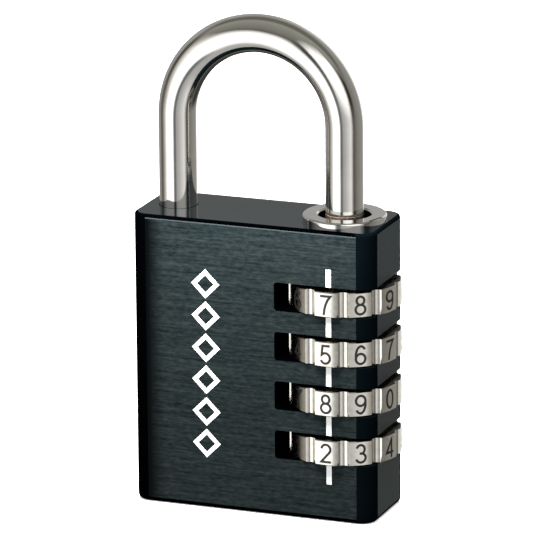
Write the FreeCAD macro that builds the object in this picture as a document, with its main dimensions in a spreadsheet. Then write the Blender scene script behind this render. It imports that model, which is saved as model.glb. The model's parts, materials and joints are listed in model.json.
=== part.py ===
"""Combination padlock with four dials, as separate pieces in one frame.

Units are millimetres. X runs to the right, Y to the back and Z up. The origin is the centre of
the case's underside. The dials, their code sleeves and the long leg of the shackle share one
vertical axis, the dial axis. Dial 1 is the top one.

The padlock is drawn locked, with the opening code dialled, so every gate faces its lug.
"""
import FreeCAD, Part
import math
import os

import Sketcher

SIZES = {
    # case
    "case_width": 40.2,
    "case_depth": 15.2,
    "case_height": 47.05,
    "case_corner_radius": 2.6,
    "case_top_rim_radius": 0.5,
    "case_base_rim_radius": 0.85,
    # shackle
    "rod_radius": 3.0,
    "leg_spacing": 27.8,
    "shackle_rise": 31.6,
    "toe_depth": 5.0,
    "toe_hole_depth": 8.0,
    "toe_clearance": 0.1,
    "leg_foot_height": 1.2,
    "end_round": 0.6,
    "lug_reach": 3.85,
    "lug_half_width": 1.0,
    "lug_height": 1.8,
    "lug_drop": 1.9,
    # dials, in slots that open to the right
    "dial_axis_x": 12.9,
    "dial_pitch": 8.0,
    "lowest_dial_height": 11.6,
    "dial_radius": 8.85,
    "dial_thickness": 4.0,
    "gap_under_dial": 0.1,
    "gap_over_dial": 0.5,
    "dial_edge_chamfer": 0.12,
    "flute_radius": 1.05,
    "flute_centre_radius": 9.25,
    "slot_end_x": 3.93,
    "slot_corner_radius": 0.5,
    # code sleeves and the splines that turn them
    "core_bore_radius": 5.5,
    "sleeve_radius": 4.6,
    "sleeve_relief_radius": 3.95,
    "sleeve_length": 7.9,
    "sleeve_foot_drop": 2.15,
    "web_bore_radius": 3.1,
    "web_start": 0.1,
    "web_thickness": 2.0,
    "gate_half_width": 1.2,
    "spline_tip_radius": 5.3,
    "spline_half_width": 0.45,
    "spline_start": 0.05,
    "spline_length": 1.8,
    "spline_clearance": 0.1,
    # collar, washers, clip and plug round the long leg
    "collar_radius": 6.6,
    "collar_flange": 1.05,
    "collar_shank": 4.55,
    "collar_bore_radius": 4.15,
    "collar_chamfer": 0.25,
    "collar_edge_round": 0.35,
    "mark_length": 3.0,
    "mark_width": 0.45,
    "mark_depth": 0.2,
    "mark_radius": 6.1,
    "mark_angle": 19.0,
    "washer_radius": 5.4,
    "thrust_washer_bore": 4.2,
    "thrust_washer_height": 1.0,
    "stop_washer_bore": 3.15,
    "stop_washer_foot": 8.75,
    "stop_washer_height": 0.6,
    "clip_radius": 3.85,
    "clip_groove_radius": 2.4,
    "clip_foot": 1.7,
    "clip_height": 0.7,
    "clip_mouth_half_width": 1.5,
    "plug_height": 1.0,
    "plug_chamfer": 0.2,
    # springs and detents
    "reset_coil_radius": 4.7,
    "reset_wire_radius": 0.35,
    "reset_coil_pitch": 1.55,
    "detent_bore_radius": 1.2,
    "detent_bore_depth": 6.5,
    "detent_ball_radius": 1.1,
    "detent_ball_x": 2.92,
    "detent_coil_radius": 0.8,
    "detent_wire_radius": 0.15,
    "detent_coil_pitch": 0.75,
}

DIAL_NUMBERS = (1, 2, 3, 4)
DIGITS_PER_DIAL = 10
CUT_ALLOWANCE = 1.0

document = FreeCAD.newDocument("CombinationPadlock")
sheet = document.addObject("Spreadsheet::Sheet", "Sizes")
for row, (alias, value) in enumerate(SIZES.items(), start=1):
    sheet.set(f"A{row}", alias)
    sheet.set(f"B{row}", str(value))
    sheet.setAlias(f"B{row}", alias)
document.recompute()


def size(expression):
    """The value in millimetres of a sheet expression such as Sizes.case_width / 2."""
    result = sheet.evalExpression(expression)
    return float(getattr(result, "Value", result))


def bind(thing, **expressions):
    """Tie properties to sheet expressions. A double underscore stands for a dot."""
    for name, expression in expressions.items():
        thing.setExpression(name.replace("__", "."), expression)
    return thing


def new_body(label):
    body = document.addObject("PartDesign::Body", label)
    body.Label = label
    return body


def new_sketch(body, name, role, offset=None):
    """A sketch on one of the body's own origin planes, moved along its normal by offset."""
    planes = [item for item in body.Origin.OriginFeatures if item.Role == role]
    sketch = body.newObject("Sketcher::SketchObject", name)
    sketch.AttachmentSupport = [(planes[0], "")]
    sketch.MapMode = "FlatFace"
    if offset:
        bind(sketch, AttachmentOffset__Base__z=offset)
    return sketch


def fix_point(sketch, geometry, end, across, up):
    """Hold one point of the sketch at the place that two sheet expressions give."""
    tag = f"point{geometry}end{end}"
    for kind, expression, direction in (("DistanceX", across, "x"), ("DistanceY", up, "y")):
        value = size(expression)
        index = sketch.addConstraint(Sketcher.Constraint(kind, -1, 1, geometry, end, value))
        sketch.renameConstraint(index, tag + direction)
        sketch.setExpression(f"Constraints.{tag}{direction}", expression)


def add_circle(sketch, radius, across="0", up="0"):
    centre = FreeCAD.Vector(size(across), size(up), 0)
    normal = FreeCAD.Vector(0, 0, 1)
    geometry = sketch.addGeometry(Part.Circle(centre, normal, size(radius)), False)
    fix_point(sketch, geometry, 3, across, up)
    index = sketch.addConstraint(Sketcher.Constraint("Radius", geometry, size(radius)))
    sketch.renameConstraint(index, f"ring{geometry}")
    sketch.setExpression(f"Constraints.ring{geometry}", radius)


def add_outline(sketch, corners):
    """A closed outline of straight lines through corners given as pairs of expressions."""
    places = [FreeCAD.Vector(size(across), size(up), 0) for across, up in corners]
    first = sketch.GeometryCount
    for here, there in zip(places, places[1:] + places[:1]):
        sketch.addGeometry(Part.LineSegment(here, there), False)
    for step, (across, up) in enumerate(corners):
        before = first + (step - 1) % len(corners)
        sketch.addConstraint(Sketcher.Constraint("Coincident", before, 2, first + step, 1))
        fix_point(sketch, first + step, 1, across, up)


def add_rectangle(sketch, left, right, low, high):
    add_outline(sketch, [(left, low), (right, low), (right, high), (left, high)])


def add_feature(body, kind, name, sketch, **expressions):
    feature = body.newObject(f"PartDesign::{kind}", name)
    feature.Profile = sketch
    return bind(feature, **expressions)


def pad(body, name, sketch, length):
    return add_feature(body, "Pad", name, sketch, Length=length)


def pocket(body, name, sketch, length, upwards=False, both_ways=False):
    """A cut along the sketch's normal: downwards, upwards or evenly to both sides."""
    cut = add_feature(body, "Pocket", name, sketch, Length=length)
    cut.Reversed = upwards
    if both_ways:
        cut.SideType = "Symmetric"
    return cut


def revolve(body, name, sketch, cut=False):
    """A full turn of the sketch about its own vertical axis."""
    kind = "Groove" if cut else "Revolution"
    turned = add_feature(body, kind, name, sketch)
    turned.ReferenceAxis = (sketch, ["V_Axis"])
    turned.Angle = 360
    return turned


def repeat_round(body, name, feature, count):
    """Repeat a feature evenly round the body's own Z axis."""
    axes = [item for item in body.Origin.OriginFeatures if item.Role == "Z_Axis"]
    pattern = body.newObject("PartDesign::PolarPattern", name)
    pattern.Originals = [feature]
    pattern.Axis = (axes[0], [""])
    pattern.Angle = 360
    pattern.Occurrences = count
    body.Tip = pattern
    return pattern


def dress_edges(body, kind, name, base, wanted, **expressions):
    """A fillet or chamfer on those edges of the feature base for which wanted is true."""
    document.recompute()
    names = [f"Edge{n}" for n, edge in enumerate(base.Shape.Edges, start=1) if wanted(edge)]
    dressing = body.newObject(f"PartDesign::{kind}", name)
    dressing.Base = (base, names)
    return bind(dressing, **expressions)


def runs_along(edge, axis):
    """True for a straight edge parallel to the axis given as x, y or z."""
    if not isinstance(edge.Curve, (Part.Line, Part.LineSegment)):
        return False
    return abs(getattr(edge.tangentAt(edge.FirstParameter), axis)) > 0.999


def lies_at(edge, axis, place):
    """True for an edge that lies wholly in the plane where the axis has that value."""
    return all(abs(getattr(vertex.Point, axis) - place) < 1e-4 for vertex in edge.Vertexes)


def stand_on_dial_axis(thing, height="0"):
    bind(thing, Placement__Base__x="Sizes.dial_axis_x", Placement__Base__z=height)
    return thing


def dial_height(number):
    """The expression for the height of a dial's middle plane."""
    steps_up = DIAL_NUMBERS[-1] - number
    return f"Sizes.lowest_dial_height + {steps_up} * Sizes.dial_pitch"


def make_lock_body():
    """The aluminium case: dial slots, core bore, toe hole and four detent bores."""
    body = new_body("lock_body")
    outline = new_sketch(body, "CaseOutline", "XY_Plane")
    add_rectangle(
        outline,
        "-Sizes.case_width / 2",
        "Sizes.case_width / 2",
        "-Sizes.case_depth / 2",
        "Sizes.case_depth / 2",
    )
    block = pad(body, "CaseBlock", outline, "Sizes.case_height")
    rounded = dress_edges(
        body,
        "Fillet",
        "CaseCorners",
        block,
        lambda edge: runs_along(edge, "z"),
        Radius="Sizes.case_corner_radius",
    )
    top = size("Sizes.case_height")
    top_rim = dress_edges(
        body,
        "Fillet",
        "CaseTopRim",
        rounded,
        lambda edge: lies_at(edge, "z", top),
        Radius="Sizes.case_top_rim_radius",
    )
    dress_edges(
        body,
        "Fillet",
        "CaseBaseRim",
        top_rim,
        lambda edge: lies_at(edge, "z", 0),
        Radius="Sizes.case_base_rim_radius",
    )

    slots = new_sketch(body, "DialSlots", "XZ_Plane")
    for number in DIAL_NUMBERS:
        middle = dial_height(number)
        add_rectangle(
            slots,
            "Sizes.slot_end_x",
            f"Sizes.case_width / 2 + {CUT_ALLOWANCE}",
            f"{middle} - Sizes.dial_thickness / 2 - Sizes.gap_under_dial",
            f"{middle} + Sizes.dial_thickness / 2 + Sizes.gap_over_dial",
        )
    slot_cut = pocket(
        body, "DialSlotCut", slots, f"Sizes.case_depth + {CUT_ALLOWANCE}", both_ways=True
    )
    slot_end = size("Sizes.slot_end_x")
    dress_edges(
        body,
        "Fillet",
        "DialSlotCorners",
        slot_cut,
        lambda edge: runs_along(edge, "y") and lies_at(edge, "x", slot_end),
        Radius="Sizes.slot_corner_radius",
    )

    core = new_sketch(body, "CoreBore", "XY_Plane")
    add_circle(core, "Sizes.core_bore_radius", "Sizes.dial_axis_x")
    pocket(body, "CoreBoreCut", core, "Sizes.case_height", upwards=True)

    toe = new_sketch(body, "ToeHole", "XY_Plane", offset="Sizes.case_height")
    toe_x = "Sizes.dial_axis_x - Sizes.leg_spacing"
    add_circle(toe, "Sizes.rod_radius + Sizes.toe_clearance", toe_x)
    pocket(body, "ToeHoleCut", toe, "Sizes.toe_hole_depth")

    detents = new_sketch(body, "DetentBores", "YZ_Plane", offset="Sizes.slot_end_x")
    for number in DIAL_NUMBERS:
        add_circle(detents, "Sizes.detent_bore_radius", "0", dial_height(number))
    pocket(body, "DetentBoreCut", detents, "Sizes.detent_bore_depth")
    return body


def make_shackle():
    """One bent rod: a long leg with four lugs and a clip groove, a half-round bow, a short toe."""
    body = new_body("shackle")
    foot = "Sizes.leg_foot_height"
    spring_line = (
        "Sizes.case_height + Sizes.shackle_rise - Sizes.rod_radius - Sizes.leg_spacing / 2"
    )
    toe_end = "Sizes.case_height - Sizes.toe_depth"

    path = new_sketch(body, "RodPath", "XZ_Plane")
    long_x = size("Sizes.dial_axis_x")
    bow_radius = size("Sizes.leg_spacing / 2")
    bow_x = long_x - bow_radius
    toe_x = long_x - 2 * bow_radius
    bow_z = size(spring_line)
    long_top = FreeCAD.Vector(long_x, bow_z, 0)
    long_foot = FreeCAD.Vector(long_x, size(foot), 0)
    toe_top = FreeCAD.Vector(toe_x, bow_z, 0)
    toe_foot = FreeCAD.Vector(toe_x, size(toe_end), 0)
    crown = FreeCAD.Vector(bow_x, bow_z + bow_radius, 0)
    path.addGeometry(Part.LineSegment(long_foot, long_top), False)
    path.addGeometry(Part.Arc(long_top, crown, toe_top), False)
    path.addGeometry(Part.LineSegment(toe_top, toe_foot), False)
    path.addConstraint(Sketcher.Constraint("Coincident", 0, 2, 1, 1))
    path.addConstraint(Sketcher.Constraint("Coincident", 1, 2, 2, 1))
    fix_point(path, 0, 1, "Sizes.dial_axis_x", foot)
    fix_point(path, 1, 3, "Sizes.dial_axis_x - Sizes.leg_spacing / 2", spring_line)
    fix_point(path, 2, 2, "Sizes.dial_axis_x - Sizes.leg_spacing", toe_end)
    path.addConstraint(Sketcher.Constraint("Vertical", 0))
    path.addConstraint(Sketcher.Constraint("Vertical", 2))
    path.addConstraint(Sketcher.Constraint("Tangent", 0, 1))

    section = new_sketch(body, "RodSection", "XY_Plane", offset=foot)
    add_circle(section, "Sizes.rod_radius", "Sizes.dial_axis_x")
    rod = body.newObject("PartDesign::AdditivePipe", "Rod")
    rod.Profile = section
    rod.Spine = (path, ["Edge1", "Edge2", "Edge3"])
    ends = (size(foot), size(toe_end))
    dress_edges(
        body,
        "Fillet",
        "RodEnds",
        rod,
        lambda edge: any(lies_at(edge, "z", end) for end in ends),
        Radius="Sizes.end_round",
    )

    inside = "(Sizes.rod_radius - Sizes.end_round)"
    for number in DIAL_NUMBERS:
        lug_foot = f"{dial_height(number)} - Sizes.lug_drop"
        lug = new_sketch(body, f"Lug{number}", "XY_Plane", offset=lug_foot)
        reach = "sqrt(Sizes.lug_reach ^ 2 - Sizes.lug_half_width ^ 2)"
        add_rectangle(
            lug,
            f"Sizes.dial_axis_x - {reach}",
            f"Sizes.dial_axis_x - {inside}",
            "-Sizes.lug_half_width",
            "Sizes.lug_half_width",
        )
        pad(body, f"Lug{number}Pad", lug, "Sizes.lug_height")

    groove = new_sketch(body, "ClipGroove", "XY_Plane", offset="Sizes.clip_foot")
    add_circle(groove, "Sizes.clip_groove_radius", "Sizes.dial_axis_x")
    add_circle(groove, f"Sizes.rod_radius + {CUT_ALLOWANCE}", "Sizes.dial_axis_x")
    pocket(body, "ClipGrooveCut", groove, "Sizes.clip_height", upwards=True)
    return body


def make_collar():
    """The flanged bush round the long leg, wide enough for the lugs, with an engraved mark."""
    body = stand_on_dial_axis(new_body("shackle_collar"), "Sizes.case_height")
    profile = new_sketch(body, "CollarProfile", "XZ_Plane")
    bore = "Sizes.collar_bore_radius"
    edge = "Sizes.collar_chamfer"
    add_outline(
        profile,
        [
            (bore, "-Sizes.collar_shank"),
            ("Sizes.core_bore_radius", "-Sizes.collar_shank"),
            ("Sizes.core_bore_radius", "0"),
            ("Sizes.collar_radius", "0"),
            ("Sizes.collar_radius", "Sizes.collar_flange"),
            (f"{bore} + {edge}", "Sizes.collar_flange"),
            (bore, f"Sizes.collar_flange - {edge}"),
        ],
    )
    turning = revolve(body, "CollarTurning", profile)
    reach = size("Sizes.collar_radius")
    flange_top = size("Sizes.collar_flange")
    dress_edges(
        body,
        "Fillet",
        "CollarRim",
        turning,
        lambda edge: edge.BoundBox.XMax > reach - 1e-4 and lies_at(edge, "z", flange_top),
        Radius="Sizes.collar_edge_round",
    )

    mark = new_sketch(body, "CollarMark", "XY_Plane", offset="Sizes.collar_flange")
    bind(mark, AttachmentOffset__Rotation__Angle="-Sizes.mark_angle")
    add_rectangle(
        mark,
        "Sizes.mark_radius - Sizes.mark_width / 2",
        "Sizes.mark_radius + Sizes.mark_width / 2",
        "-Sizes.mark_length / 2",
        "Sizes.mark_length / 2",
    )
    pocket(body, "CollarMarkCut", mark, "Sizes.mark_depth")
    return body


def make_ring(label, outer, inner, height, foot):
    """A plain flat ring on the dial axis."""
    body = stand_on_dial_axis(new_body(label), foot)
    sketch = new_sketch(body, f"{label}Outline", "XY_Plane")
    add_circle(sketch, outer)
    add_circle(sketch, inner)
    pad(body, f"{label}Pad", sketch, height)
    return body


def make_retaining_clip():
    """A flat open ring that snaps into the groove at the foot of the long leg."""
    body = make_ring(
        "retaining_clip",
        "Sizes.clip_radius",
        "Sizes.clip_groove_radius",
        "Sizes.clip_height",
        "Sizes.clip_foot",
    )
    mouth = new_sketch(body, "ClipMouth", "XY_Plane")
    add_rectangle(
        mouth,
        "0",
        f"Sizes.clip_radius + {CUT_ALLOWANCE}",
        "-Sizes.clip_mouth_half_width",
        "Sizes.clip_mouth_half_width",
    )
    pocket(body, "ClipMouthCut", mouth, "Sizes.clip_height", upwards=True)
    return body


def make_bottom_plug():
    """The disc pressed into the foot of the core bore, flush with the case's underside."""
    body = stand_on_dial_axis(new_body("bottom_plug"))
    profile = new_sketch(body, "PlugProfile", "XZ_Plane")
    edge = "Sizes.plug_chamfer"
    add_outline(
        profile,
        [
            ("0", "0"),
            (f"Sizes.core_bore_radius - {edge}", "0"),
            ("Sizes.core_bore_radius", edge),
            ("Sizes.core_bore_radius", "Sizes.plug_height"),
            ("0", "Sizes.plug_height"),
        ],
    )
    revolve(body, "PlugTurning", profile)
    return body


def make_dial(number):
    """A dial: ten lands for the digits, ten flutes, and inner splines in its upper half."""
    body = stand_on_dial_axis(new_body(f"dial_{number}"), dial_height(number))
    half = "Sizes.dial_thickness / 2"
    edge = "Sizes.dial_edge_chamfer"
    root = "(Sizes.spline_tip_radius + Sizes.spline_clearance)"
    tip = "(Sizes.sleeve_radius + Sizes.spline_clearance)"
    profile = new_sketch(body, f"Dial{number}Profile", "XZ_Plane")
    add_outline(
        profile,
        [
            (root, f"-{half}"),
            (f"Sizes.dial_radius - {edge}", f"-{half}"),
            ("Sizes.dial_radius", f"{edge} - {half}"),
            ("Sizes.dial_radius", f"{half} - {edge}"),
            (f"Sizes.dial_radius - {edge}", half),
            (tip, half),
            (tip, "0"),
            (root, "0"),
        ],
    )
    revolve(body, f"Dial{number}Turning", profile)

    flute = new_sketch(body, f"Dial{number}Flute", "XY_Plane", offset=f"-{half}")
    add_circle(flute, "Sizes.flute_radius", "-Sizes.flute_centre_radius")
    flute_cut = pocket(
        body, f"Dial{number}FluteCut", flute, "Sizes.dial_thickness", upwards=True
    )
    repeat_round(body, f"Dial{number}Flutes", flute_cut, DIGITS_PER_DIAL)

    keyway = new_sketch(body, f"Dial{number}Keyway", "XY_Plane", offset=half)
    side = "(Sizes.spline_half_width + Sizes.spline_clearance)"
    add_rectangle(keyway, f"-{root}", f"{CUT_ALLOWANCE} - {tip}", f"-{side}", side)
    keyway_cut = pocket(body, f"Dial{number}KeywayCut", keyway, half)
    repeat_round(body, f"Dial{number}Keyways", keyway_cut, DIGITS_PER_DIAL)
    return body


def make_code_sleeve(number):
    """A code sleeve: outer splines under its dial, and a thin web with one gate for the lug."""
    body = stand_on_dial_axis(new_body(f"code_sleeve_{number}"), dial_height(number))
    foot = "-Sizes.sleeve_foot_drop"
    top = "Sizes.sleeve_length - Sizes.sleeve_foot_drop"
    web_top = "Sizes.web_start + Sizes.web_thickness"
    profile = new_sketch(body, f"Sleeve{number}Profile", "XZ_Plane")
    add_outline(
        profile,
        [
            ("Sizes.sleeve_relief_radius", foot),
            ("Sizes.sleeve_radius", foot),
            ("Sizes.sleeve_radius", top),
            ("Sizes.sleeve_relief_radius", top),
            ("Sizes.sleeve_relief_radius", web_top),
            ("Sizes.web_bore_radius", web_top),
            ("Sizes.web_bore_radius", "Sizes.web_start"),
            ("Sizes.sleeve_relief_radius", "Sizes.web_start"),
        ],
    )
    revolve(body, f"Sleeve{number}Turning", profile)

    gate = new_sketch(body, f"Sleeve{number}Gate", "XY_Plane", offset="Sizes.web_start")
    gate_reach = "sqrt(Sizes.sleeve_relief_radius ^ 2 - Sizes.gate_half_width ^ 2)"
    add_rectangle(
        gate, f"-{gate_reach}", "0", "-Sizes.gate_half_width", "Sizes.gate_half_width"
    )
    pocket(body, f"Sleeve{number}GateCut", gate, "Sizes.web_thickness", upwards=True)

    spline = new_sketch(body, f"Sleeve{number}Spline", "XY_Plane", offset="Sizes.spline_start")
    inside = "(Sizes.sleeve_radius + Sizes.sleeve_relief_radius) / 2"
    add_rectangle(
        spline,
        "-Sizes.spline_tip_radius",
        f"-{inside}",
        "-Sizes.spline_half_width",
        "Sizes.spline_half_width",
    )
    spline_pad = pad(body, f"Sleeve{number}SplinePad", spline, "Sizes.spline_length")
    repeat_round(body, f"Sleeve{number}Splines", spline_pad, DIGITS_PER_DIAL)
    return body


def make_detent_ball(number):
    """The ball that drops into a dial's flute, drawn pressed back just clear of the lands."""
    ball = document.addObject("Part::Sphere", f"detent_ball_{number}")
    ball.Label = f"detent_ball_{number}"
    return bind(
        ball,
        Radius="Sizes.detent_ball_radius",
        Placement__Base__x="Sizes.detent_ball_x",
        Placement__Base__z=dial_height(number),
    )


def make_coil(label, coil_radius, wire_radius, pitch, length, placement):
    """A coil spring: a round wire swept along a helix of the given length, turn by turn."""
    helix = Part.makeLongHelix(pitch, length, coil_radius)
    start = FreeCAD.Vector(coil_radius, 0, 0)
    heading = FreeCAD.Vector(0, math.tau * coil_radius, pitch)
    section = Part.Wire(Part.makeCircle(wire_radius, start, heading))
    coil = document.addObject("Part::Feature", label)
    coil.Label = label
    coil.Shape = Part.Wire(helix.Edges).makePipeShell([section], True, True)
    coil.Placement = placement
    return coil


def make_reset_spring():
    """The spring that holds the code sleeves up in mesh with their dials."""
    wire = size("Sizes.reset_wire_radius")
    foot = size("Sizes.plug_height") + wire
    top = size("Sizes.stop_washer_foot") - wire
    place = FreeCAD.Vector(size("Sizes.dial_axis_x"), 0, foot)
    return make_coil(
        "reset_spring",
        size("Sizes.reset_coil_radius"),
        wire,
        size("Sizes.reset_coil_pitch"),
        top - foot,
        FreeCAD.Placement(place, FreeCAD.Rotation()),
    )


def make_detent_spring(number):
    """The small spring behind a detent ball, lying along X in its blind bore."""
    wire = size("Sizes.detent_wire_radius")
    foot = size("Sizes.slot_end_x - Sizes.detent_bore_depth") + wire
    top = size("Sizes.detent_ball_x - Sizes.detent_ball_radius") - wire
    place = FreeCAD.Vector(foot, 0, size(dial_height(number)))
    along_x = FreeCAD.Rotation(FreeCAD.Vector(0, 1, 0), 90)
    return make_coil(
        f"detent_spring_{number}",
        size("Sizes.detent_coil_radius"),
        wire,
        size("Sizes.detent_coil_pitch"),
        top - foot,
        FreeCAD.Placement(place, along_x),
    )


def check_document():
    """Stop before anything is written if an object failed to rebuild."""
    for thing in document.Objects:
        for word in ("Invalid", "Error"):
            if word in thing.State:
                raise RuntimeError(f"{thing.Label} did not rebuild: {thing.State}")


def write_step(piece):
    shape = piece.Shape
    if shape.isNull() or not shape.isValid() or not shape.Solids:
        raise RuntimeError(f"{piece.Label} has no valid solid")
    shape.exportStep(f"parts/{piece.Label}.step")
    print(f"{piece.Label:18s} {shape.Volume:10.3f} mm3  {len(shape.Solids)} solid")


def main():
    pieces = [
        make_lock_body(),
        make_shackle(),
        make_collar(),
        make_ring(
            "thrust_washer",
            "Sizes.washer_radius",
            "Sizes.thrust_washer_bore",
            "Sizes.thrust_washer_height",
            "Sizes.case_height - Sizes.collar_shank - Sizes.thrust_washer_height",
        ),
        make_ring(
            "stop_washer",
            "Sizes.washer_radius",
            "Sizes.stop_washer_bore",
            "Sizes.stop_washer_height",
            "Sizes.stop_washer_foot",
        ),
        make_retaining_clip(),
        make_bottom_plug(),
        make_reset_spring(),
    ]
    for number in DIAL_NUMBERS:
        pieces.append(make_dial(number))
        pieces.append(make_code_sleeve(number))
        pieces.append(make_detent_ball(number))
        pieces.append(make_detent_spring(number))
    document.recompute()
    check_document()
    os.makedirs("parts", exist_ok=True)
    for piece in pieces:
        write_step(piece)


main()
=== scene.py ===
"""Combination padlock: fine pieces, materials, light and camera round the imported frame.

Metres, in the CAD frame: X right, Y back, Z up, origin under the middle of the case.
"""
import json
import math
from collections import namedtuple

import bmesh
import bpy
from mathutils import Matrix, Vector


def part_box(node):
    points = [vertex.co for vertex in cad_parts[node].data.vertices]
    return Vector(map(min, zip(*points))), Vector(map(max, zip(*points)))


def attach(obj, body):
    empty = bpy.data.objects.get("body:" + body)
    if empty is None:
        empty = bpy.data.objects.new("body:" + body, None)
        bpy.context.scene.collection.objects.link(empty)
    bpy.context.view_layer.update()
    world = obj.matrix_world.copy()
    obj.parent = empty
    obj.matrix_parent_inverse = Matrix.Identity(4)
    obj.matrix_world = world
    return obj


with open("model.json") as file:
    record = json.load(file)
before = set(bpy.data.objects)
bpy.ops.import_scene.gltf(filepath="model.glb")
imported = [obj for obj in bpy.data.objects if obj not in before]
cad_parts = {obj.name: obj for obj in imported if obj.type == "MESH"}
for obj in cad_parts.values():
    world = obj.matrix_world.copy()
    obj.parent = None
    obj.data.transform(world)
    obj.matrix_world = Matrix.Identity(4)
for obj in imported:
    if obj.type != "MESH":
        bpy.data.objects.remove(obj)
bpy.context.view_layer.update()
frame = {"nodes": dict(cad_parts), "record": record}

MM = 0.001
DIAL_COUNT = 4
DIGITS_PER_DIAL = 10
FRONT_ANGLE = -math.pi / 2

# digit that each dial shows at the index line, top dial first
CODE = (7, 5, 8, 2)

# radii of the rounds down the corners of the case and along its top edges
CASE_CORNER = 2.6 * MM
CASE_TOP_RIM = 0.5 * MM

# how far each slot reaches over and under its dial
GAP_OVER_DIAL = 0.5 * MM
GAP_UNDER_DIAL = 0.1 * MM

# ---------------------------------------------------------------- places read from the frame

case_low, case_high = (Vector(corner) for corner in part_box("lock_body"))
collar_low, collar_high = (Vector(corner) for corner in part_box("shackle_collar"))
dial_boxes = [
    tuple(Vector(corner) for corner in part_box(f"dial_{number}"))
    for number in range(1, DIAL_COUNT + 1)
]
dial_centres = [(low + high) / 2 for low, high in dial_boxes]
dial_radius = (dial_boxes[0][1].y - dial_boxes[0][0].y) / 2
axis_x = dial_centres[0].x
front_y = case_low.y


# ---------------------------------------------------------------- material building blocks

# most of a noise lies between these values
NOISE_LOW = 0.3
NOISE_HIGH = 0.7


class Tree:
    """Short calls for adding and joining the nodes of one material or world."""

    def __init__(self, owner):
        owner.use_nodes = True
        self.nodes = owner.node_tree.nodes
        self.links = owner.node_tree.links
        self.nodes.clear()

    def feed(self, socket, value):
        """Set a socket to a number, vector or RGB, or join it to another node's socket."""
        if isinstance(value, bpy.types.NodeSocket):
            self.links.new(value, socket)
        elif socket.type == "RGBA":
            socket.default_value = (*value, 1.0)
        else:
            socket.default_value = value

    def add(self, kind, settings=None, **inputs):
        """A new node; each input has its socket's name, with _ for a space."""
        node = self.nodes.new(kind)
        for name, value in (settings or {}).items():
            setattr(node, name, value)
        for name, value in inputs.items():
            self.feed(node.inputs[name.replace("_", " ")], value)
        return node

    def position(self, stretch=(1, 1, 1)):
        """The place on the object in its own frame, scaled along each axis."""
        scaled = self.add("ShaderNodeVectorMath", {"operation": "MULTIPLY"})
        self.feed(scaled.inputs[0], self.add("ShaderNodeTexCoord").outputs["Object"])
        self.feed(scaled.inputs[1], stretch)
        return scaled.outputs[0]

    def coordinate(self, axis):
        """One coordinate of the place on the object, in metres."""
        return self.add("ShaderNodeSeparateXYZ", Vector=self.position()).outputs[axis]

    def noise(self, scale, stretch=(1, 1, 1), detail=3.0, roughness=0.55):
        """Noise with about scale times stretch cells to the metre along each axis."""
        texture = self.add(
            "ShaderNodeTexNoise",
            Vector=self.position(stretch),
            Scale=scale,
            Detail=detail,
            Roughness=roughness,
        )
        return texture.outputs["Fac"]

    def span(self, value, low, high, to_low=0.0, to_high=1.0):
        """Map low..high of a value to another range, clamped."""
        mapped = self.add(
            "ShaderNodeMapRange",
            {"clamp": True},
            Value=value,
            From_Min=low,
            From_Max=high,
            To_Min=to_low,
            To_Max=to_high,
        )
        return mapped.outputs[0]

    def gloss(self, noise, smooth, rough):
        """A roughness that follows a noise."""
        return self.span(noise, NOISE_LOW, NOISE_HIGH, smooth, rough)

    def ramp(self, value, stops):
        """A colour ramp; stops are pairs of position and RGB."""
        node = self.add("ShaderNodeValToRGB", Fac=value)
        band = node.color_ramp
        while len(band.elements) < len(stops):
            band.elements.new(0.5)
        for element, (place, colour) in zip(band.elements, stops):
            element.position = place
            element.color = (*colour, 1.0)
        return node.outputs["Color"]

    def tones(self, noise, dark, light, low=NOISE_LOW, high=NOISE_HIGH):
        """A colour that follows a noise."""
        return self.ramp(noise, [(low, dark), (high, light)])

    def mix(self, factor, first, second):
        """The first colour where the factor is zero, the second where it is one."""
        node = self.add("ShaderNodeMix", {"data_type": "RGBA"})
        sockets = {socket.name: socket for socket in node.inputs if socket.enabled}
        for name, value in (("Factor", factor), ("A", first), ("B", second)):
            self.feed(sockets[name], value)
        return next(socket for socket in node.outputs if socket.enabled)

    def math(self, operation, first, second=0.0):
        """A sum or test of two numbers; an operation on one number ignores the second."""
        node = self.add("ShaderNodeMath", {"operation": operation})
        for socket, value in zip(node.inputs, (first, second)):
            self.feed(socket, value)
        return node.outputs[0]

    def bump(self, height, distance, strength, below=None):
        """Relief from a height, on top of the relief below when there is one."""
        node = self.add("ShaderNodeBump", Height=height, Distance=distance, Strength=strength)
        if below is not None:
            self.feed(node.inputs["Normal"], below)
        return node.outputs["Normal"]

    def surface(self, **inputs):
        """The principled shader; each input has its socket's name, with _ for a space."""
        return self.add("ShaderNodeBsdfPrincipled", **inputs).outputs["BSDF"]

    def layered(self, mask, under, over):
        """Show the shader over where the mask is one."""
        blend = self.add("ShaderNodeMixShader", Fac=mask)
        self.feed(blend.inputs[1], under)
        self.feed(blend.inputs[2], over)
        return blend.outputs[0]

    def finish(self, shader):
        """Join the shader to the material's output."""
        self.add("ShaderNodeOutputMaterial", Surface=shader)


# a surface starts to count as flat where this much of its normal lies along an axis, and
# counts in full from the second value on
FLAT_START = 0.9994
FLAT_FULL = 0.9998
# a surface is outermost down to this depth under the outline of the case
SKIN_DEPTH = 0.1 * MM


def flat_zone(tree, axis, low, high):
    """One on the two outermost flat surfaces across an axis, zero on rounds and inside slots.

    The outermost surfaces lie at low and high on that axis.
    """
    true_normal = tree.add("ShaderNodeNewGeometry").outputs["True Normal"]
    normal = tree.add("ShaderNodeSeparateXYZ", Vector=true_normal)
    facing = tree.span(tree.math("ABSOLUTE", normal.outputs[axis]), FLAT_START, FLAT_FULL)
    from_middle = tree.math("SUBTRACT", tree.coordinate(axis), (low + high) / 2)
    outermost = tree.math(
        "GREATER_THAN", tree.math("ABSOLUTE", from_middle), (high - low) / 2 - SKIN_DEPTH
    )
    return tree.math("MULTIPLY", facing, outermost)


# ---------------------------------------------------------------- materials

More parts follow.
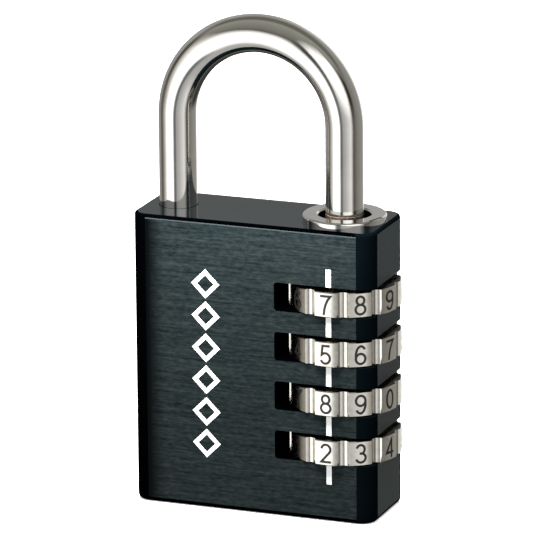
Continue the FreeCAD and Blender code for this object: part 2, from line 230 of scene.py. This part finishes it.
# width over which the painted sheen at the right corner comes in
SHEEN_BLEND = 0.3 * MM
# painted shade: the front and back get lighter between these distances from the left corner's
# round
SHADE_START = 0.4 * MM
SHADE_END = 3.0 * MM
CORNER_SHADE = (0.0003, 0.0008, 0.0010)
# depths below the top rim between which the painted highlight line comes in
RIM_HIGHLIGHT_START = 0.22 * MM
RIM_HIGHLIGHT_FULL = 0.08 * MM
PAINTED_RIM_HIGHLIGHT = (0.040, 0.051, 0.054)
# how much the long grain and the mottle add to the short grain
LONG_GRAIN_SHARE = 0.6
MOTTLE_SHARE = 0.8


def case_rounds(tree, cloud):
    """Deep black of the rounds and slots, with a painted blue-green sheen at the right corner."""
    black = tree.tones(cloud, (0.0001, 0.0001, 0.0002), (0.0003, 0.0004, 0.0006))
    # painted sheen: a dark blue-green light on the right corner's round only
    painted_sheen = tree.tones(cloud, (0.0008, 0.0018, 0.0024), (0.0014, 0.0026, 0.0034))
    corner = case_high.x - CASE_CORNER
    painted_sheen_share = tree.span(tree.coordinate("X"), corner - SHEEN_BLEND, corner)
    return tree.surface(
        Metallic=0.0,
        Specular_IOR_Level=0.0,
        Base_Color=tree.mix(painted_sheen_share, black, painted_sheen),
        Roughness=tree.gloss(cloud, 0.10, 0.16),
    )


def case_ends(tree, cloud):
    """Glossy top and base."""
    return tree.surface(
        Metallic=0.0,
        Specular_IOR_Level=0.16,
        Base_Color=tree.tones(cloud, (0.0003, 0.0016, 0.0022), (0.0006, 0.0026, 0.0034)),
        Roughness=tree.gloss(cloud, 0.05, 0.09),
    )


def case_sides(tree):
    """Satin left and right sides."""
    grain = tree.noise(1.0, stretch=(900, 120, 3600))
    return tree.surface(
        Metallic=0.0,
        Specular_IOR_Level=0.055,
        Base_Color=tree.tones(grain, (0.0050, 0.0122, 0.0132), (0.0150, 0.0245, 0.0256)),
        Roughness=tree.gloss(grain, 0.28, 0.38),
    )


def case_faces(tree):
    """Front and back, brushed from side to side, with a painted highlight line under the top rim
    and painted shade towards the left corner.
    """
    mottle = tree.noise(1.0, stretch=(1000, 900, 2300), detail=2.0)
    grain = tree.noise(1.0, stretch=(230, 900, 3400), detail=4.0, roughness=0.65)
    long_grain = tree.noise(1.0, stretch=(45, 500, 1900))
    streaks = tree.math("ADD", grain, tree.math("MULTIPLY", long_grain, LONG_GRAIN_SHARE))
    relief = tree.math("ADD", streaks, tree.math("MULTIPLY", mottle, MOTTLE_SHARE))
    brushed = tree.ramp(
        tree.span(relief, low=0.88, high=1.52),
        [
            (0.0, (0.0026, 0.0050, 0.0058)),
            (0.5, (0.0094, 0.0139, 0.0146)),
            (1.0, (0.0188, 0.0246, 0.0254)),
        ],
    )
    # painted shade: towards the left corner the front and back darken to near black
    corner = case_low.x + CASE_CORNER
    lit = tree.span(tree.coordinate("X"), corner + SHADE_START, corner + SHADE_END)
    shaded = tree.mix(lit, CORNER_SHADE, brushed)
    # painted highlight: a lighter line along the top of the front and back, just under the rim
    crest = case_high.z - CASE_TOP_RIM
    rim_highlight = tree.span(tree.coordinate("Z"), crest - RIM_HIGHLIGHT_START, crest - RIM_HIGHLIGHT_FULL)
    return tree.surface(
        Metallic=0.0,
        Specular_IOR_Level=0.03,
        Base_Color=tree.mix(rim_highlight, shaded, PAINTED_RIM_HIGHLIGHT),
        Roughness=tree.span(relief, low=0.7, high=1.7, to_low=0.36, to_high=0.50),
        Normal=tree.bump(relief, distance=0.06 * MM, strength=0.35),
    )


def case_material():
    """Black anodised aluminium: brushed front and back, satin sides, glossy ends, deep rounds."""
    material = bpy.data.materials.new("case_black_anodised")
    tree = Tree(material)
    cloud = tree.noise(90.0, detail=2.0)
    shader = case_rounds(tree, cloud)
    for axis, low, high, coat in (
        ("Z", case_low.z, case_high.z, case_ends(tree, cloud)),
        ("X", case_low.x, case_high.x, case_sides(tree)),
        ("Y", case_low.y, case_high.y, case_faces(tree)),
    ):
        shader = tree.layered(flat_zone(tree, axis, low, high), shader, coat)
    tree.finish(shader)
    return material


# the brown band on the long leg: half the blend at the collar's top, and depths where it fades
# out
BAND_EDGE = 0.05 * MM
BAND_FULL = 1.2 * MM
BAND_END = 1.6 * MM
BAND_DARK = (0.006, 0.004, 0.003)
BAND_LIGHT = (0.060, 0.034, 0.022)


def brown_band(tree):
    """One on the long leg just under the top of the collar."""
    height = tree.coordinate("Z")
    top = collar_high.z
    under_top = tree.span(height, top - BAND_EDGE, top + BAND_EDGE, 1.0, 0.0)
    over_end = tree.span(height, top - BAND_END, top - BAND_FULL)
    on_long_leg = tree.math("GREATER_THAN", tree.coordinate("X"), 0.0)
    return tree.math("MULTIPLY", tree.math("MULTIPLY", under_top, over_end), on_long_leg)


def polished_nickel(name, banded=False):
    """Bright nickel plate with faint drawing lines; with the flag set, a brown band on the long
    leg just under the collar's top.
    """
    material = bpy.data.materials.new(name)
    tree = Tree(material)
    wave = tree.noise(140.0, detail=1.0)
    lines = tree.noise(1.0, stretch=(2600, 2600, 160))
    ripple = tree.noise(1.0, stretch=(1300, 1300, 800), detail=2.0)
    smudge = tree.noise(260.0, detail=4.0)
    colour = tree.tones(smudge, (0.62, 0.61, 0.585), (0.69, 0.685, 0.665))
    metallic = 1.0
    if banded:
        # a brown, less metallic band on the long leg just under the collar's top
        ring = brown_band(tree)
        speckle = tree.noise(1500.0)
        band_colour = tree.tones(speckle, BAND_DARK, BAND_LIGHT, low=0.35, high=0.65)
        colour = tree.mix(ring, colour, band_colour)
        metallic = tree.math("SUBTRACT", 1.0, ring)
    waves = tree.bump(wave, distance=0.4 * MM, strength=0.03)
    ripples = tree.bump(ripple, distance=0.01 * MM, strength=0.22, below=waves)
    shader = tree.surface(
        Base_Color=colour,
        Metallic=metallic,
        Roughness=tree.span(smudge, low=0.3, high=0.75, to_low=0.06, to_high=0.12),
        Normal=tree.bump(lines, distance=0.01 * MM, strength=0.08, below=ripples),
    )
    tree.finish(shader)
    return material


def satin_nickel():
    """Finely turned nickel of the dials, duller than the shackle."""
    material = bpy.data.materials.new("satin_nickel")
    tree = Tree(material)
    turning = tree.noise(1.0, stretch=(500, 500, 9000), detail=2.0)
    patches = tree.noise(900.0)
    grain = tree.noise(5200.0, detail=2.0)
    dents = tree.bump(patches, distance=0.04 * MM, strength=0.12)
    shader = tree.surface(
        Metallic=1.0,
        Base_Color=tree.tones(patches, (0.60, 0.585, 0.54), (0.70, 0.685, 0.645)),
        Roughness=tree.gloss(turning, 0.16, 0.24),
        Normal=tree.bump(grain, distance=0.01 * MM, strength=0.10, below=dents),
    )
    tree.finish(shader)
    return material


# how much duller than its glossiest spots a plain metal or paint gets
METAL_GLOSS_SPREAD = 0.12
PAINT_GLOSS_SPREAD = 0.15


def plain_metal(name, dark, light, roughness):
    """A worked metal: colour and gloss that vary over a fine grain."""
    material = bpy.data.materials.new(name)
    tree = Tree(material)
    grain = tree.noise(900.0, detail=4.0)
    shader = tree.surface(
        Metallic=1.0,
        Base_Color=tree.tones(grain, dark, light),
        Roughness=tree.gloss(grain, roughness, roughness + METAL_GLOSS_SPREAD),
        Normal=tree.bump(grain, distance=0.02 * MM, strength=0.2),
    )
    tree.finish(shader)
    return material


def paint(name, dark, light, roughness):
    """Screen-printed or filled paint with slightly uneven cover."""
    material = bpy.data.materials.new(name)
    tree = Tree(material)
    grain = tree.noise(2400.0)
    shader = tree.surface(
        Metallic=0.0,
        Specular_IOR_Level=0.4,
        Base_Color=tree.tones(grain, dark, light),
        Roughness=tree.gloss(grain, roughness, roughness + PAINT_GLOSS_SPREAD),
        Normal=tree.bump(grain, distance=0.01 * MM, strength=0.3),
    )
    tree.finish(shader)
    return material


MATERIALS = {
    "case": case_material(),
    "shackle": polished_nickel("shackle_nickel", banded=True),
    "dial": satin_nickel(),
    "collar": polished_nickel("collar_nickel"),
    "brass": plain_metal("oiled_brass", (0.20, 0.13, 0.05), (0.32, 0.22, 0.09), 0.22),
    "spring_steel": plain_metal("drawn_wire", (0.30, 0.30, 0.31), (0.48, 0.48, 0.50), 0.25),
    "steel": plain_metal("ground_steel", (0.42, 0.42, 0.43), (0.60, 0.60, 0.61), 0.22),
    "plug": plain_metal("anodised_plug", (0.02, 0.021, 0.022), (0.04, 0.042, 0.044), 0.30),
}
BLACK_ENAMEL = paint("black_enamel", (0.004, 0.004, 0.004), (0.012, 0.011, 0.010), 0.35)
WHITE_PRINT = paint("white_print", (0.74, 0.78, 0.78), (0.84, 0.87, 0.87), 0.45)


def dress_cad_nodes():
    """Give every CAD node the material of its slot in the record."""
    for part in frame["record"]["subparts"]:
        thing = frame["nodes"][part["node"]]
        material = MATERIALS[part["material_slot"]]
        if not thing.material_slots:
            thing.data.materials.append(material)
        for slot in thing.material_slots:
            slot.material = material


dress_cad_nodes()


# ---------------------------------------------------------------- shared by the added pieces

SMOOTH_ANGLE = math.radians(35)


def arc(centre_x, centre_y, radius_x, radius_y, start, end, steps=18):
    """Points along part of an ellipse; the angles are in degrees."""
    angles = [math.radians(start + (end - start) * k / steps) for k in range(steps + 1)]
    return [
        (centre_x + radius_x * math.cos(angle), centre_y + radius_y * math.sin(angle))
        for angle in angles
    ]


def add_band(mesh, first, second):
    """Faces between two closed rows with the same number of corners."""
    for k, (here, there) in enumerate(zip(first, second)):
        after = (k + 1) % len(first)
        mesh.faces.new((here, first[after], second[after], there))


def finish_piece(mesh, name, material, body):
    """Turn a bmesh into an object that rides on a body."""
    bmesh.ops.recalc_face_normals(mesh, faces=mesh.faces)
    data = bpy.data.meshes.new(name)
    mesh.to_mesh(data)
    mesh.free()
    data.materials.append(material)
    piece = bpy.data.objects.new(name, data)
    bpy.context.collection.objects.link(piece)
    for polygon in data.polygons:
        polygon.use_smooth = True
    data.set_sharp_from_angle(angle=SMOOTH_ANGLE)
    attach(piece, body)


# ---------------------------------------------------------------- digits

DIGIT_HEIGHT = 3.12 * MM
STROKE_WIDTH = 0.39 * MM
PAINT_SINK = 0.05 * MM
PAINT_RISE = 0.012 * MM

# in digit heights: a stroke whose ends are closer than this is closed
SAME_POINT = 1e-6
# in digit heights: a straight run longer than this is cut
LONGEST_RUN = 0.08
# a mitre reaches at most the half width divided by this
LEAST_MITRE = 0.45


def digit_strokes(digit):
    """Centre lines of one digit, 1 high and centred on x = 0, as lists of points."""
    if digit == 0:
        return [arc(0, 0.495, 0.235, 0.455, 0, 360, 40)]
    if digit == 1:
        return [[(-0.17, 0.73), (0.04, 0.94), (0.04, -0.02)]]
    if digit == 2:
        top = arc(0, 0.70, 0.235, 0.25, 172, -38)
        return [top + [(-0.25, 0.045), (0.27, 0.045)]]
    if digit == 3:
        upper = arc(-0.01, 0.72, 0.205, 0.23, 165, -86)
        lower = arc(0, 0.28, 0.245, 0.24, 88, -165)
        return [upper[:-1] + [(-0.07, 0.51)], lower]
    if digit == 4:
        return [[(0.12, -0.02), (0.12, 0.95), (-0.26, 0.27), (0.28, 0.27)]]
    if digit == 5:
        bowl = arc(-0.01, 0.31, 0.245, 0.27, 132, -158)
        return [[(0.23, 0.95), (-0.15, 0.95), (-0.20, 0.48)] + bowl[1:]]
    if digit == 6:
        hook = arc(0.01, 0.70, 0.205, 0.25, 18, 90, 8)
        side = arc(0.01, 0.44, 0.255, 0.51, 90, 184, 16)
        bowl = arc(0, 0.30, 0.245, 0.26, 180, 540, 32)
        return [hook[:-1] + side, bowl]
    if digit == 7:
        leg = [(0.27, 0.95), (0.13, 0.76), (0.03, 0.54), (-0.04, 0.28), (-0.08, -0.02)]
        return [[(-0.27, 0.95)] + leg]
    if digit == 8:
        return [
            arc(0, 0.74, 0.195, 0.21, 0, 360, 32),
            arc(0, 0.285, 0.25, 0.245, 0, 360, 32),
        ]
    # a nine is a six turned upside down
    return [[(-x, 0.99 - y) for x, y in stroke] for stroke in digit_strokes(6)]


def offset_sides(points, half_width):
    """Left and right edges of a stroke, mitred at the bends, and whether it is closed."""
    closed = (Vector(points[0]) - Vector(points[-1])).length < SAME_POINT
    path = [Vector(point) for point in (points[:-1] if closed else points)]
    count = len(path)
    left, right = [], []
    for index, here in enumerate(path):
        before = path[index - 1] if index > 0 or closed else None
        after = path[(index + 1) % count] if index < count - 1 or closed else None
        into = (here - before).normalized() if before is not None else (after - here).normalized()
        out = (after - here).normalized() if after is not None else into
        side_in = Vector((-into.y, into.x))
        side_out = Vector((-out.y, out.x))
        side = (side_in + side_out).normalized()
        reach = half_width / max(LEAST_MITRE, side.dot(side_in))
        left.append(here + side * reach)
        right.append(here - side * reach)
    return left, right, closed


def add_stroke(mesh, points, half_width, place, inner, outer):
    """Add one raised stroke between two radii; place wraps a flat point onto a radius."""
    left, right, closed = offset_sides(points, half_width)
    rows = []
    for a, b in zip(left, right):
        corners = ((a, inner), (a, outer), (b, outer), (b, inner))
        rows.append([mesh.verts.new(place(point, radius)) for point, radius in corners])
    for first, second in zip(rows, rows[1:]):
        add_band(mesh, first, second)
    if closed:
        add_band(mesh, rows[-1], rows[0])
    else:
        mesh.faces.new(rows[0])
        mesh.faces.new(list(reversed(rows[-1])))


def dense(points):
    """Cut long straight runs so that the stroke can follow the dial's curve."""
    out = [points[0]]
    for here, there in zip(points, points[1:]):
        parts = max(1, math.ceil(math.dist(here, there) / LONGEST_RUN))
        for k in range(1, parts + 1):
            out.append(tuple(a + (b - a) * k / parts for a, b in zip(here, there)))
    return out


def make_dial_digits(number):
    """The ten filled digits round one dial."""
    centre = dial_centres[number - 1]
    mesh = bmesh.new()
    for digit in range(DIGITS_PER_DIAL):
        turn = FRONT_ANGLE + math.tau * (digit - CODE[number - 1]) / DIGITS_PER_DIAL

        def place(point, radius):
            along = point[0] * DIGIT_HEIGHT
            angle = turn + along / dial_radius
            return Vector((
                centre.x + radius * math.cos(angle),
                centre.y + radius * math.sin(angle),
                centre.z + (point[1] - 0.5) * DIGIT_HEIGHT,
            ))

        for stroke in digit_strokes(digit):
            add_stroke(
                mesh,
                dense(stroke),
                STROKE_WIDTH / DIGIT_HEIGHT / 2,
                place,
                dial_radius - PAINT_SINK,
                dial_radius + PAINT_RISE,
            )
    finish_piece(mesh, f"dial_{number}_digits", BLACK_ENAMEL, f"dial_{number}_body")


for number in range(1, DIAL_COUNT + 1):
    make_dial_digits(number)


# ---------------------------------------------------------------- printing on the case

# the print stands this far over the front face, and reaches as far under it
PRINT_RISE = 0.02 * MM
LINE_WIDTH = 0.86 * MM
LINE_CORNER = 0.06 * MM
# how far the line stands to the right of the dials' axis
LINE_SHIFT = 0.07 * MM
# heights over the base where the line ends
LINE_FOOT = 6.15 * MM
LINE_TOP = 40.95 * MM
LOZENGE_COUNT = 6
LOZENGE_PITCH = 5.2 * MM
LOZENGE_HALF = 2.35 * MM
LOZENGE_BORDER = 0.95 * MM
LOZENGE_X = -7.5 * MM
LOZENGE_MIDDLE_Z = 23.75 * MM


def add_plate(mesh, outline, back_y, face_y):
    """A thin plate on the front face with the outline given as (x, z) points."""
    back = [mesh.verts.new((x, back_y, z)) for x, z in outline]
    face = [mesh.verts.new((x, face_y, z)) for x, z in outline]
    mesh.faces.new(face)
    mesh.faces.new(list(reversed(back)))
    add_band(mesh, back, face)


def rounded_rectangle(left, right, low, high, radius, steps=5):
    """Outline points of a rectangle with rounded corners, counter-clockwise."""
    points = []
    corners = (
        (right - radius, low + radius, -90),
        (right - radius, high - radius, 0),
        (left + radius, high - radius, 90),
        (left + radius, low + radius, 180),
    )
    for x, z, start in corners:
        points += arc(x, z, radius, radius, start, start + 90, steps)
    return points


def make_index_line():
    """The white line down the front, broken by the dial slots."""
    mesh = bmesh.new()
    middle = axis_x + LINE_SHIFT
    half = LINE_WIDTH / 2
    breaks = [LINE_TOP]
    for low, high in dial_boxes:
        breaks += [high.z + GAP_OVER_DIAL, low.z - GAP_UNDER_DIAL]
    breaks.append(LINE_FOOT)
    for high, low in zip(breaks[0::2], breaks[1::2]):
        outline = rounded_rectangle(middle - half, middle + half, low, high, LINE_CORNER)
        add_plate(mesh, outline, front_y + PRINT_RISE, front_y - PRINT_RISE)
    finish_piece(mesh, "index_line", WHITE_PRINT, "housing")


def add_lozenge_ring(mesh, x, z, outer, inner):
    """A flat lozenge with a lozenge hole, standing just proud of the front face."""
    corners = ((1, 0), (0, 1), (-1, 0), (0, -1))
    rings = []
    for reach in (outer, inner):
        for y in (front_y + PRINT_RISE, front_y - PRINT_RISE):
            rings.append([mesh.verts.new((x + reach * a, y, z + reach * b)) for a, b in corners])
    outer_back, outer_face, inner_back, inner_face = rings
    for first, second in (
        (outer_face, inner_face),
        (inner_back, outer_back),
        (outer_back, outer_face),
        (inner_face, inner_back),
    ):
        add_band(mesh, first, second)


def make_ornament():
    """A plain column of printed lozenges down the left of the front."""
    mesh = bmesh.new()
    lowest = LOZENGE_MIDDLE_Z - LOZENGE_PITCH * (LOZENGE_COUNT - 1) / 2
    for step in range(LOZENGE_COUNT):
        z = lowest + step * LOZENGE_PITCH
        add_lozenge_ring(mesh, LOZENGE_X, z, LOZENGE_HALF, LOZENGE_HALF - LOZENGE_BORDER)
    finish_piece(mesh, "front_ornament", WHITE_PRINT, "housing")


# the groove in the collar: its middle's distance from the axis, its direction and its size,
# and how high the black fill stands in it
MARK_RADIUS = 6.1 * MM
MARK_ANGLE = math.radians(-19)
MARK_LENGTH = 2.98 * MM
MARK_WIDTH = 0.43 * MM
MARK_DEPTH = 0.18 * MM
MARK_FILL = 0.16 * MM


def make_mark_fill():
    """A black fill in the groove in the collar, almost to its top."""
    mesh = bmesh.new()
    bmesh.ops.create_cube(mesh, size=1)
    scale = Matrix.Diagonal((MARK_WIDTH, MARK_LENGTH, MARK_FILL, 1))
    out = Matrix.Translation((MARK_RADIUS, 0, 0))
    turn = Matrix.Rotation(MARK_ANGLE, 4, "Z")
    centre = (collar_low + collar_high) / 2
    place = Matrix.Translation((centre.x, centre.y, collar_high.z - MARK_DEPTH + MARK_FILL / 2))
    bmesh.ops.transform(mesh, matrix=place @ turn @ out @ scale, verts=mesh.verts)
    finish_piece(mesh, "collar_mark_fill", BLACK_ENAMEL, "housing")


make_index_line()
make_ornament()
make_mark_fill()


# ---------------------------------------------------------------- floor, light and camera

FLOOR_SIZE = 12.0
WHITE = (1.0, 1.0, 1.0)


def make_floor():
    """A pale floor that glows a little, so that the contact shadow stays light."""
    bpy.ops.mesh.primitive_plane_add(size=FLOOR_SIZE, location=(0, 0, 0))
    floor = bpy.context.object
    floor.name = "floor"
    material = bpy.data.materials.new("pale_floor")
    tree = Tree(material)
    mottle = tree.noise(3.0, detail=2.0)
    shader = tree.surface(
        Base_Color=tree.tones(mottle, (0.93, 0.93, 0.91), (0.95, 0.95, 0.93)),
        Roughness=0.9,
        Specular_IOR_Level=0.1,
        Emission_Color=WHITE,
        Emission_Strength=0.4,
    )
    tree.finish(shader)
    floor.data.materials.append(material)
    floor.visible_glossy = False
    floor.visible_diffuse = False


def soft_light(name, place, target, width, height, power):
    """A rectangular soft box turned to a target; it lights, but isn't seen or mirrored."""
    data = bpy.data.lights.new(name, "AREA")
    data.shape = "RECTANGLE"
    data.size = width
    data.size_y = height
    data.energy = power
    light = bpy.data.objects.new(name, data)
    bpy.context.collection.objects.link(light)
    light.location = place
    direction = Vector(target) - Vector(place)
    light.rotation_euler = direction.to_track_quat("-Z", "Y").to_euler()
    light.visible_glossy = False
    light.visible_camera = False


# where the camera stands, to the right of the front and up, and how far it is tilted
AZIMUTH = math.radians(21.18)
ELEVATION = math.radians(15.75)
ROLL = math.radians(-0.43)
DISTANCE = 870.5 * MM
LOOK_AT = Vector((0.393 * MM, 0, 37.704 * MM))
CLIP_START = 10 * MM
# the sensor's width and the focal length, in millimetres as on a real camera
SENSOR = 36.0
LENS = 370.9


def make_camera():
    """A long lens, from the right and above."""
    back = Vector((
        math.sin(AZIMUTH) * math.cos(ELEVATION),
        -math.cos(AZIMUTH) * math.cos(ELEVATION),
        math.sin(ELEVATION),
    ))
    level_right = Vector((math.cos(AZIMUTH), math.sin(AZIMUTH), 0))
    level_up = back.cross(level_right)
    right = level_right * math.cos(ROLL) + level_up * math.sin(ROLL)
    up = back.cross(right)
    data = bpy.data.cameras.new("camera")
    data.sensor_width = SENSOR
    data.lens = LENS
    data.clip_start = CLIP_START
    camera = bpy.data.objects.new("camera", data)
    bpy.context.collection.objects.link(camera)
    turn = Matrix((right, up, back)).transposed().to_4x4()
    camera.matrix_world = Matrix.Translation(LOOK_AT + back * DISTANCE) @ turn
    bpy.context.scene.camera = camera


# ---------------------------------------------------------------- the studio all round

WARM = (1.0, 0.96, 0.88)
COOL = (0.90, 1.0, 1.0)
BROWN = (1.0, 0.86, 0.70)
NEUTRAL = (1.0, 0.985, 0.96)
PANEL_BRIGHTNESS = 2.0

# What stands round the padlock: degrees from the front, with positive ones to the right, then
# brightness near the table, brightness above it, how many degrees up it reaches before the
# ceiling takes over, and tint. Brightness 1 is the large white panel.
Panel = namedtuple("Panel", "angle low high reach tint")
SURROUND = (
    Panel(-172, 0.50, 0.50, 32, NEUTRAL),
    Panel(-166, 0.21, 0.235, 32, NEUTRAL),
    Panel(-108, 0.19, 0.225, 32, NEUTRAL),
    Panel(-98, 0.12, 0.10, 32, WARM),
    Panel(-92, 0.07, 0.04, 32, WARM),
    Panel(-84, 0.08, 0.04, 30, WARM),
    Panel(-76, 0.17, 0.22, 28, BROWN),
    Panel(-68, 0.29, 0.36, 26, WARM),
    Panel(-58, 0.46, 0.55, 24, NEUTRAL),
    Panel(-46, 1.00, 0.80, 20, NEUTRAL),
    Panel(-9, 1.00, 0.80, 20, NEUTRAL),
    Panel(-5, 0.45, 0.40, 22, NEUTRAL),
    Panel(-1, 0.11, 0.04, 26, COOL),
    Panel(7, 0.11, 0.04, 32, COOL),
    Panel(13, 0.25, 0.80, 38, NEUTRAL),
    Panel(28, 0.32, 1.00, 46, NEUTRAL),
    Panel(60, 0.55, 1.00, 48, NEUTRAL),
    Panel(68, 0.32, 0.50, 38, WARM),
    Panel(76, 0.06, 0.02, 34, WARM),
    Panel(88, 0.09, 0.02, 32, WARM),
    Panel(98, 0.13, 0.13, 32, WARM),
    Panel(125, 0.18, 0.18, 32, WARM),
    Panel(160, 0.20, 0.20, 32, NEUTRAL),
    Panel(170, 0.50, 0.50, 32, NEUTRAL),
)

# The ceiling, as degrees up from the front, 90 overhead and 180 at the back, and brightness.
CEILING = ((30, 0.08), (44, 0.13), (92, 0.20), (104, 0.09), (122, 0.09), (136, 0.20), (180, 0.22))
CEILING_BLEND = 0.13
CEILING_TINT = (1.0, 0.98, 0.86)
TABLE = (0.30, 0.295, 0.285)
BACK_TABLE = (0.030, 0.029, 0.025)

# degrees up, or down when negative, between which one thing gives way to the next
LOW_TO_HIGH = (-6, 10)
HIGH_TO_TABLE = (-36, -56)
HIGH_TO_BACK_TABLE = (-19, -27)
# how far forward a direction points where the table's back half starts, and where it is full
BACK_START = 0.0
BACK_FULL = -0.5


def level(degrees):
    """Height on the unit sphere of a direction that many degrees up."""
    return math.sin(math.radians(degrees))


def tinted(brightness, tint):
    """A colour of that brightness."""
    return tuple(brightness * part for part in tint)


def make_world():
    """Panels and gaps all round, under a dim ceiling and over a pale table."""
    world = bpy.data.worlds.new("studio")
    tree = Tree(world)
    direction = tree.add("ShaderNodeTexCoord").outputs["Generated"]
    parts = tree.add("ShaderNodeSeparateXYZ", Vector=direction)
    height = parts.outputs["Z"]
    forward = tree.math("MULTIPLY", parts.outputs["Y"], -1.0)
    turn = tree.span(tree.math("ARCTAN2", parts.outputs["X"], forward), -math.pi, math.pi)
    rise = tree.span(tree.math("ARCTAN2", height, forward), 0, math.pi)

    def around(colour_of):
        stops = [((panel.angle + 180) / 360, colour_of(panel)) for panel in SURROUND]
        return tree.ramp(turn, stops)

    def over_height(degrees):
        return tree.span(height, *(level(limit) for limit in degrees))

    low_walls = around(lambda panel: tinted(panel.low, panel.tint))
    high_walls = around(lambda panel: tinted(panel.high, panel.tint))
    reach = around(lambda panel: tinted(level(panel.reach), WHITE))
    above = tree.math("SUBTRACT", height, reach)
    ceiling = tree.ramp(
        rise, [(degrees / 180, tinted(grey, CEILING_TINT)) for degrees, grey in CEILING]
    )
    walls = tree.mix(over_height(LOW_TO_HIGH), low_walls, high_walls)
    upper = tree.mix(tree.span(above, -CEILING_BLEND, CEILING_BLEND), walls, ceiling)
    front = tree.mix(over_height(HIGH_TO_TABLE), upper, TABLE)
    behind = tree.math(
        "MULTIPLY", tree.span(forward, BACK_START, BACK_FULL), over_height(HIGH_TO_BACK_TABLE)
    )
    whole = tree.mix(behind, front, BACK_TABLE)
    background = tree.add("ShaderNodeBackground", Color=whole, Strength=PANEL_BRIGHTNESS)
    tree.add("ShaderNodeOutputWorld", Surface=background.outputs[0])
    bpy.context.scene.world = world


make_floor()
make_world()
soft_light(
    "key",
    place=(-2 * MM, -36 * MM, 78 * MM),
    target=(-2 * MM, -7.5 * MM, 30 * MM),
    width=70 * MM,
    height=20 * MM,
    power=0.17,
)
soft_light("table", place=(0.0, 0.1, 1.1), target=(0, 0, 0), width=0.9, height=0.9, power=30)
make_camera()

bpy.context.scene.view_settings.view_transform = "Standard"
